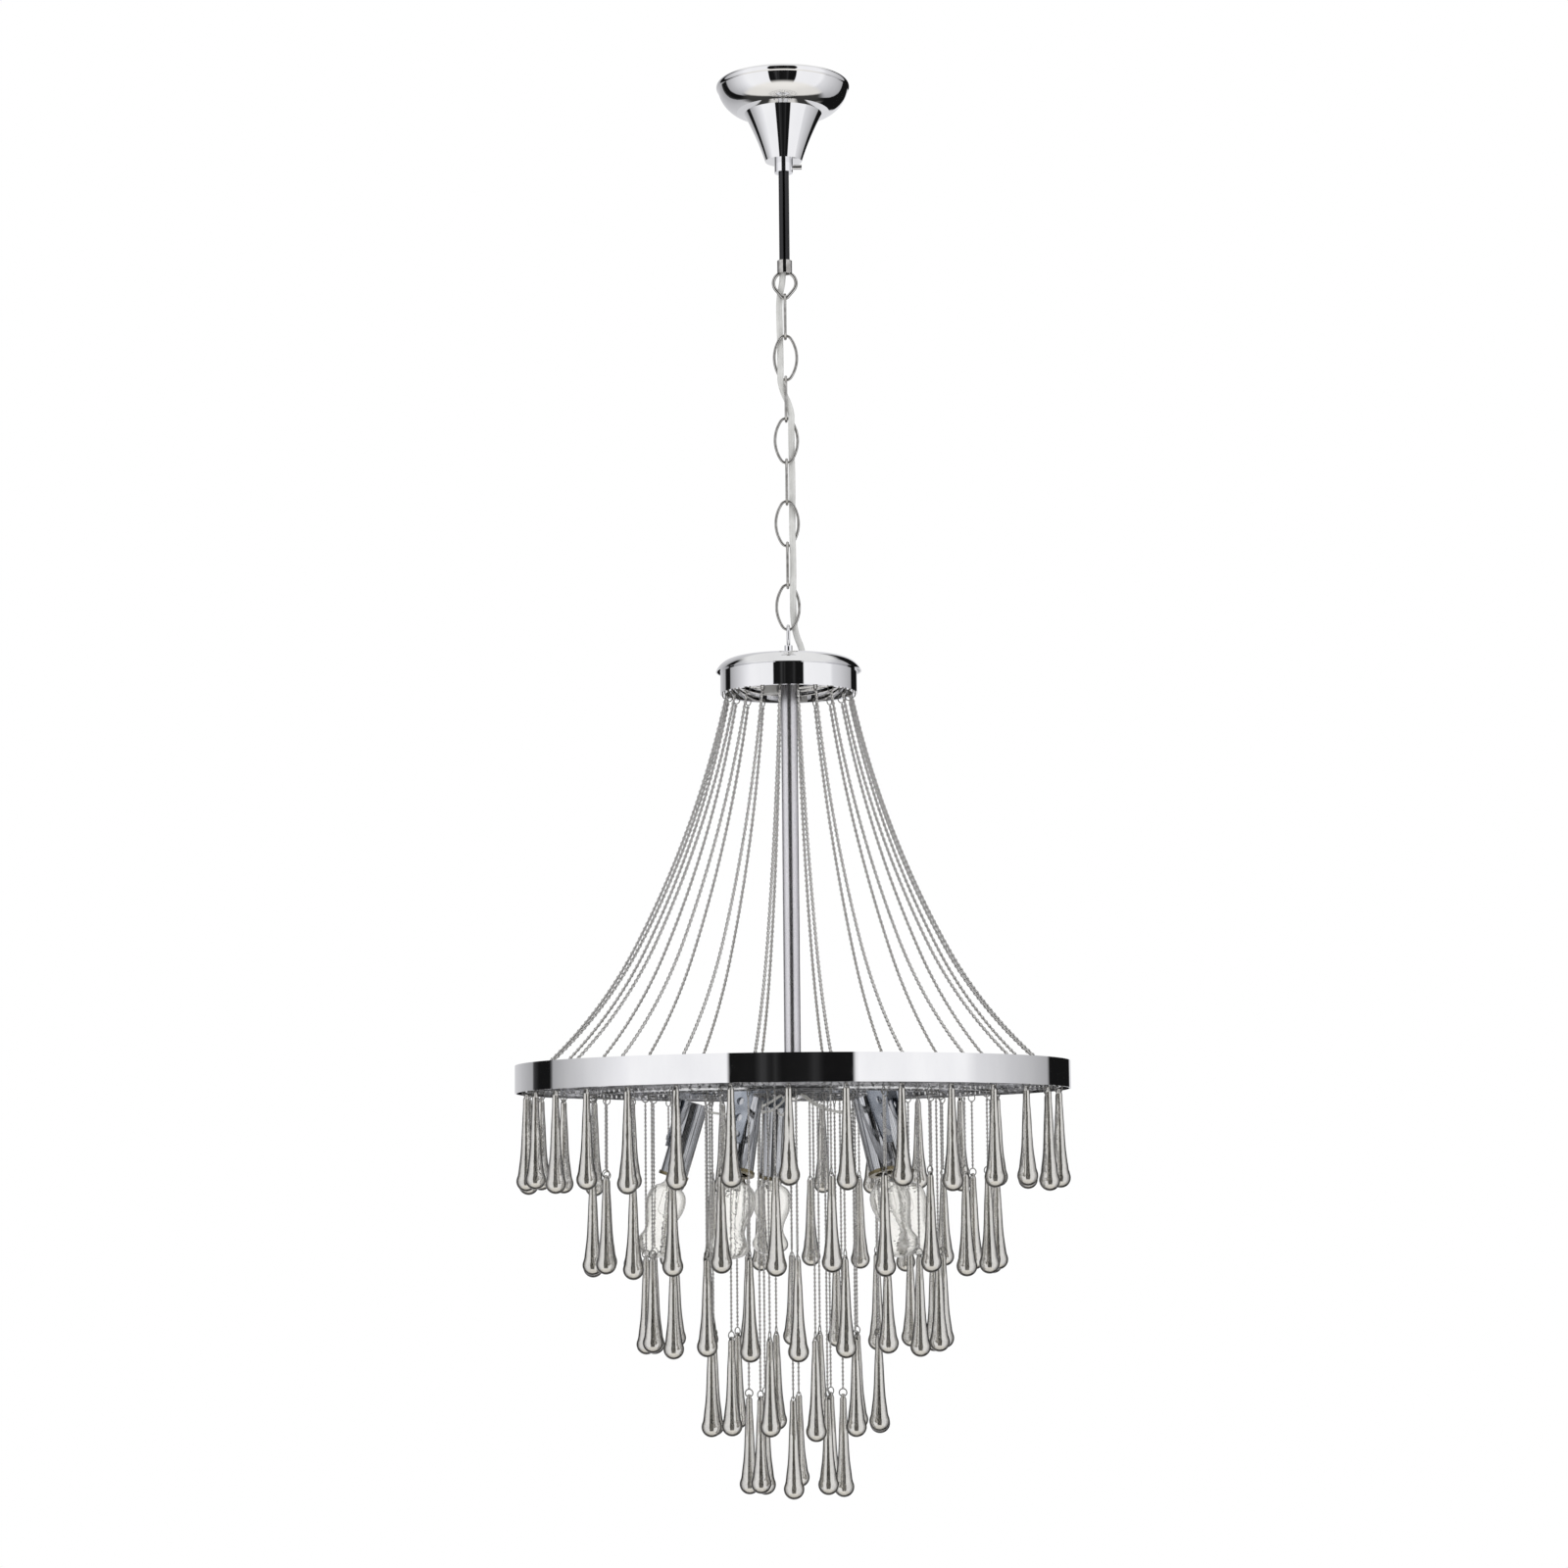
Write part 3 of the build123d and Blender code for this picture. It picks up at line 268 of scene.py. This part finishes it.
# the last colour is painted shade at the edges of the bulbs
bulb_glass = glass("bulb_glass", (0.985, 0.985, 0.98), 1.48, (0.0, 0.01), 0.00005, 50.0, 0.0,
                   (0.62, 0.62, 0.61))
mount_glass = glass("mount_glass", (0.93, 0.93, 0.91), 1.5, (0.02, 0.08), 0.0, 300.0)
cable_jacket = plastic("cable_jacket", (0.66, 0.66, 0.64), (0.82, 0.82, 0.80), (0.18, 0.3), 90.0)
white_nylon = plastic("white_nylon", (0.78, 0.77, 0.74), (0.88, 0.87, 0.84), (0.35, 0.5))
black_nylon = plastic("black_nylon", (0.015, 0.015, 0.015), (0.05, 0.05, 0.05), (0.3, 0.5))
lead_jacket = plastic("lead_jacket", (0.62, 0.61, 0.58), (0.78, 0.77, 0.74), (0.3, 0.45), 300.0)

dressed = {
    chrome: ["canopy_collar", "collar_screw", "crown_eye", "hub_plate", "hub_nut",
             "crown_coupling", "frame_spokes"],
    chrome_sheet: ["canopy", "crown_lid", "crown_band", "main_ring"],
    chrome_link: ["stem_loop"] + [f"chain_link_{k}" for k in range(1, 9)],
    chrome_tube: ["centre_tube"],
    chrome_strip: [f"frame_ring_{k}" for k in range(1, 6)],
    black_nickel: ["stem_tube"],
    hook_metal: ["strand_hooks"] + [f"drop_hooks_{k}" for k in range(1, 6)],
    strand_metal: ["drape_strands"],
    zinc: ["ceiling_bracket", "stem_nuts", "lamp_screws"],
    brass: ["lamp_rims", "bulb_caps"],
    holder_metal: ["lamp_holders"],
    bracket_metal: ["lamp_brackets"],
    crystal: [f"drops_tier_{k}" for k in range(1, 5)] + [f"tip_drop_{k}" for k in range(1, 9)],
    bulb_glass: ["bulb_glasses"],
    mount_glass: ["bulb_filaments"],
    cable_jacket: ["supply_cable"],
    white_nylon: ["terminal_block", "crown_connector"],
    black_nylon: ["cable_grommet"],
    lead_jacket: ["lamp_wires"],
}
for material, nodes in dressed.items():
    for node in nodes:
        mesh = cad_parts[node].data
        mesh.materials.clear()
        mesh.materials.append(material)


# ---- pieces made here ----------------------------------------------------------------------
def outwards(angle):
    """Unit vector away from the axis at an angle counted from the front."""
    turn = math.radians(angle - 90)
    return Vector((math.cos(turn), math.sin(turn), 0))


def at(angle, radius, height):
    return outwards(angle) * radius + Vector((0, 0, height))


def new_piece(name, sections, materials):
    """One mesh from (vertices, faces, material number) triples."""
    vertices, faces, numbers = [], [], []
    for points, corners, number in sections:
        base = len(vertices)
        vertices += points
        faces += [tuple(base + c for c in face) for face in corners]
        numbers += [number] * len(corners)
    mesh = bpy.data.meshes.new(name)
    mesh.from_pydata([tuple(v) for v in vertices], [], faces)
    for material in materials:
        mesh.materials.append(material)
    mesh.polygons.foreach_set("material_index", numbers)
    mesh.polygons.foreach_set("use_smooth", [True] * len(faces))
    mesh.update()
    piece = bpy.data.objects.new(name, mesh)
    scene.collection.objects.link(piece)
    return piece


def grid_faces(rings, sides, closed=False):
    """Quads between rings of points, with end caps where the run is open."""
    faces = []
    for i in range(rings if closed else rings - 1):
        low, high = i * sides, ((i + 1) % rings) * sides
        faces += [(low + j, low + (j + 1) % sides, high + (j + 1) % sides, high + j)
                  for j in range(sides)]
    if not closed:
        faces.append(tuple(range(sides - 1, -1, -1)))
        faces.append(tuple(range((rings - 1) * sides, rings * sides)))
    return faces


def tube_points(line, radius, sides, across, lobes=0.0, pitch=1.0):
    """Points of a tube along a line; with lobes it is two wires twisted round each other."""
    points, length, side = [], 0.0, Vector(across)
    for i, here in enumerate(line):
        ahead = (line[min(i + 1, len(line) - 1)] - line[max(i - 1, 0)]).normalized()
        side = (side - ahead * side.dot(ahead)).normalized()
        other = ahead.cross(side)
        length += (here - line[i - 1]).length if i else 0.0
        spin = math.pi * length / pitch
        for j in range(sides):
            turn = 2 * math.pi * j / sides
            reach = radius * (1 - lobes * abs(math.sin(turn)))
            points.append(here + reach * (math.cos(turn + spin) * side
                                          + math.sin(turn + spin) * other))
    return points


def fine_chain(line, across, radius, pitch):
    """A twisted chain along a line, in the piece's first material."""
    points = tube_points(line, radius, CHAIN_SIDES, across, CHAIN_WAIST, pitch)
    return points, grid_faces(len(line), CHAIN_SIDES), 0


def wire_ring(middle, out, steps=24, sides=6):
    """A small wire ring in the plane of the axis, in the piece's second material."""
    up, points = Vector((0, 0, 1)), []
    across = out.cross(up)
    for i in range(steps):
        turn = 2 * math.pi * i / steps
        away = math.cos(turn) * out + math.sin(turn) * up
        for j in range(sides):
            around = 2 * math.pi * j / sides
            points.append(middle + (HOOK_RADIUS + HOOK_WIRE * math.cos(around)) * away
                          + HOOK_WIRE * math.sin(around) * across)
    return points, grid_faces(steps, sides, True), 1


def spaced(start, end):
    """Points of a straight chain, about one step apart."""
    count = max(2, round((end - start).length / CHAIN_STEP))
    return [start.lerp(end, i / count) for i in range(count + 1)]


def strand_profile():
    """Radius and height along a hanging strand: two arcs that meet smoothly."""
    (r0, z0), (r1, z1) = STRAND_TOP, STRAND_END
    across, down = r1 - r0, z0 - z1
    chord = math.atan2(across, down)
    first, middle, last = (chord + math.radians(a) for a in (
        -STRAND_SLACK[0], STRAND_SLACK[1], STRAND_SLACK[2]))
    a1, a2 = math.cos(first) - math.cos(middle), math.cos(middle) - math.cos(last)
    b1, b2 = math.sin(middle) - math.sin(first), math.sin(last) - math.sin(middle)
    scale = a1 * b2 - a2 * b1
    upper, lower = (across * b2 - a2 * down) / scale, (a1 * down - across * b1) / scale
    profile, place = [(r0, z0)], (r0, z0)
    for radius, begin, end in ((upper, first, middle), (lower, middle, last)):
        count = round(radius * (end - begin) / CHAIN_STEP)
        for i in range(1, count + 1):
            turn = begin + (end - begin) * i / count
            profile.append((place[0] + radius * (math.cos(begin) - math.cos(turn)),
                            place[1] - radius * (math.sin(turn) - math.sin(begin))))
        place = profile[-1]
    return profile


def make_strands():
    """Fine chains from the crown to the outer strip, each with its own slight sway."""
    sway = random.Random(STRAND_SEED)
    profile = strand_profile()
    sections = []
    for angle in STRAND_ANGLES:
        out = outwards(angle)
        across = out.cross(Vector((0, 0, 1)))
        side = sway.uniform(-STRAND_SWAY, STRAND_SWAY)
        slack = sway.uniform(-STRAND_BELLY, STRAND_BELLY)
        line = []
        for i, (radius, height) in enumerate(profile):
            belly = math.sin(math.pi * i / (len(profile) - 1))
            line.append(out * (radius + slack * belly) + across * side * belly
                        + Vector((0, 0, height)))
        sections.append(fine_chain(line, across, STRAND_RADIUS, STRAND_PITCH))
    piece = new_piece("strand_chains", sections, [strand_metal])
    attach(piece, "chandelier")
    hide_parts("drape_strands")


def make_hangers():
    """Fine chains with a small ring at both ends, for the four inner tiers."""
    for tier, (node, sizes) in enumerate(HANGERS.items(), start=2):
        radius, count, first, high, low = sizes
        sections = []
        for k in range(count):
            angle = first + 360 / count * k
            out = outwards(angle)
            top = at(angle, radius, high - HOOK_RADIUS)
            bottom = at(angle, radius, low + HOOK_RADIUS)
            sections.append(fine_chain(spaced(top, bottom), out, CHAIN_RADIUS, CHAIN_PITCH))
            sections += [wire_ring(at(angle, radius, height), out) for height in (high, low)]
        piece = new_piece(f"hanger_chains_{tier}", sections, [strand_metal, hook_metal])
        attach(piece, "chandelier")
        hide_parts(node)


def nurbs(name, points):
    """A curve object of one smooth spline that these control points guide."""
    curve = bpy.data.curves.new(name, "CURVE")
    curve.dimensions = "3D"
    spline = curve.splines.new("NURBS")
    spline.points.add(len(points) - 1)
    for point, place in zip(spline.points, points):
        point.co = (*place, 1)
    spline.order_u = 3
    spline.use_endpoint_u = True
    spline.resolution_u = 16
    piece = bpy.data.objects.new(name, curve)
    scene.collection.objects.link(piece)
    return piece


def dome(ring, middle, ahead):
    """Rings that round off the end of a length of cable."""
    rounds = []
    for degrees in DOME_ANGLES:
        turn = math.radians(degrees)
        rounds.append([middle + (point - middle) * math.cos(turn)
                       + ahead * (CABLE_RADIUS * math.sin(turn)) for point in ring])
    return rounds


def make_supply_cable():
    """The cable laced through the chain: a length on every body, with round ends that meet at
    the joints, so that it turns there like a ball in a socket."""
    guide = nurbs("cable_guide", CABLE_ROUTE)
    bpy.context.view_layer.update()
    mesh = bpy.data.meshes.new_from_object(guide)
    line = [vertex.co.copy() for vertex in mesh.vertices]
    bpy.data.objects.remove(guide)
    bodies = ["ceiling_mount"] + [f"link_{k}" for k in range(1, 9)] + ["chandelier"]
    ends = [0] + [min(range(len(line)), key=lambda i: abs(line[i].z - height))
                  for height in LINK_TOPS + [EYE_TOP]]
    ends.append(len(line) - 1)
    points = tube_points(line, CABLE_RADIUS, CABLE_SIDES, (1, 0, 0))
    rings = [points[i * CABLE_SIDES:(i + 1) * CABLE_SIDES] for i in range(len(line))]
    for k, body in enumerate(bodies):
        first, last = ends[k], ends[k + 1]
        length = rings[first:last + 1]
        if k > 0:
            back = (line[first] - line[first + 1]).normalized()
            length = dome(rings[first], line[first], back)[::-1] + length
        if k < len(bodies) - 1:
            length += dome(rings[last], line[last], (line[last] - line[last - 1]).normalized())
        section = ([point for ring in length for point in ring],
                   grid_faces(len(length), CABLE_SIDES), 0)
        piece = new_piece(f"supply_cable_{k + 1}", [section], [cable_jacket])
        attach(piece, body)
        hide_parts("supply_cable")


def make_lamp_leads():
    """Thin leads from the hub to the lamp holders."""
    for k, angle in enumerate(LAMP_ANGLES, start=1):
        points = [at(angle, radius, height) for radius, height in LEAD_ROUTE]
        piece = nurbs(f"lamp_lead_{k}", points)
        piece.data.bevel_depth = LEAD_RADIUS
        piece.data.bevel_resolution = 3
        piece.data.materials.append(lead_jacket)
        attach(piece, "chandelier")
        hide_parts("lamp_wires")


make_strands()
make_hangers()
make_supply_cable()
make_lamp_leads()


# ---- world and stage -----------------------------------------------------------------------
def make_world():
    """White behind, for the camera; white cards and dark gaps for polished metal and glass."""
    world = bpy.data.worlds.new("studio")
    scene.world = world
    world.use_nodes = True
    tree = world.node_tree
    tree.nodes.clear()
    add, link = tree.nodes.new, tree.links.new

    def set_or_link(socket, value):
        if isinstance(value, (int, float, tuple)):
            socket.default_value = value
        else:
            link(value, socket)

    def math_node(kind, a, b=None):
        node = add("ShaderNodeMath")
        node.operation = kind
        set_or_link(node.inputs[0], a)
        if b is not None:
            set_or_link(node.inputs[1], b)
        return node.outputs[0]

    def blend(factor, first, second):
        node = add("ShaderNodeMix")
        node.data_type = "RGBA"
        link(factor, node.inputs[0])
        set_or_link(node.inputs[6], first)
        set_or_link(node.inputs[7], second)
        return node.outputs[2]

    def fade(value, limits):
        """0 up to the first limit and 1 from the second on, both in degrees."""
        node = add("ShaderNodeMapRange")
        node.interpolation_type = "SMOOTHSTEP"
        node.inputs["From Min"].default_value = math.radians(limits[0])
        node.inputs["From Max"].default_value = math.radians(limits[1])
        link(value, node.inputs["Value"])
        return node.outputs[0]

    def cards(value, stops, span, tint):
        """Brightness by place; the value runs from 0 to 1 over a span with 0 in its middle."""
        node = add("ShaderNodeValToRGB")
        elements = node.color_ramp.elements
        while len(elements) < len(stops):
            elements.new(0.5)
        for element, (place, bright) in zip(elements, stops):
            element.position = place / span + 0.5
            element.color = (*(min(1, bright * part) for part in tint), 1)
        link(value, node.inputs[0])
        return node.outputs[0]

    direction = add("ShaderNodeSeparateXYZ")
    link(add("ShaderNodeTexCoord").outputs["Generated"], direction.inputs[0])
    x, y, z = direction.outputs
    turn = math_node("ARCTAN2", x, math_node("MULTIPLY", y, -1.0))
    around = math_node("ADD", math_node("DIVIDE", turn, 2 * math.pi), 0.5)
    depth = math_node("ADD", math_node("MULTIPLY", y, 0.5), 0.5)
    rise = math_node("ARCSINE", z)

    studio = cards(around, STUDIO_CARDS, 360, STUDIO_TINT)
    studio = blend(fade(rise, STUDIO_TOP_FADE), studio, STUDIO_TOP)
    studio = blend(fade(rise, UNDER_FADE), studio, cards(depth, UNDER_CARDS, 2, UNDER_TINT))
    through = blend(fade(math_node("ABSOLUTE", rise), GLASS_STEEP_FADE),
                    cards(around, GLASS_CARDS, 360, GLASS_TINT), GLASS_STEEP)
    paths = add("ShaderNodeLightPath")
    colour = blend(paths.outputs["Is Glossy Ray"], DIFFUSE_LIGHT, studio)
    colour = blend(paths.outputs["Is Transmission Ray"], colour, through)
    colour = blend(paths.outputs["Is Camera Ray"], colour, WHITE)
    background = add("ShaderNodeBackground")
    link(colour, background.inputs["Color"])
    link(background.outputs[0], add("ShaderNodeOutputWorld").inputs["Surface"])


def make_floor():
    """Plain pale floor, far below the hanging object."""
    bpy.ops.mesh.primitive_circle_add(vertices=96, radius=FLOOR_RADIUS, fill_type="NGON",
                                      location=(0, 0, FLOOR_HEIGHT))
    floor = bpy.context.object
    floor.name = "floor"
    material, tree, shader = new_material("pale_floor")
    mottle = noise(tree, 3.0, 2.0)
    tree.links.new(two_colours(tree, to_range(tree, mottle, 0, 1), (0.88, 0.88, 0.88),
                               (0.92, 0.92, 0.92)), shader.inputs["Base Color"])
    shader.inputs["Roughness"].default_value = 0.9
    floor.data.materials.append(material)
    floor.visible_glossy = False               # polished undersides show the studio's cards
    floor.visible_transmission = False


make_world()
make_floor()
scene.view_settings.view_transform = "Standard"
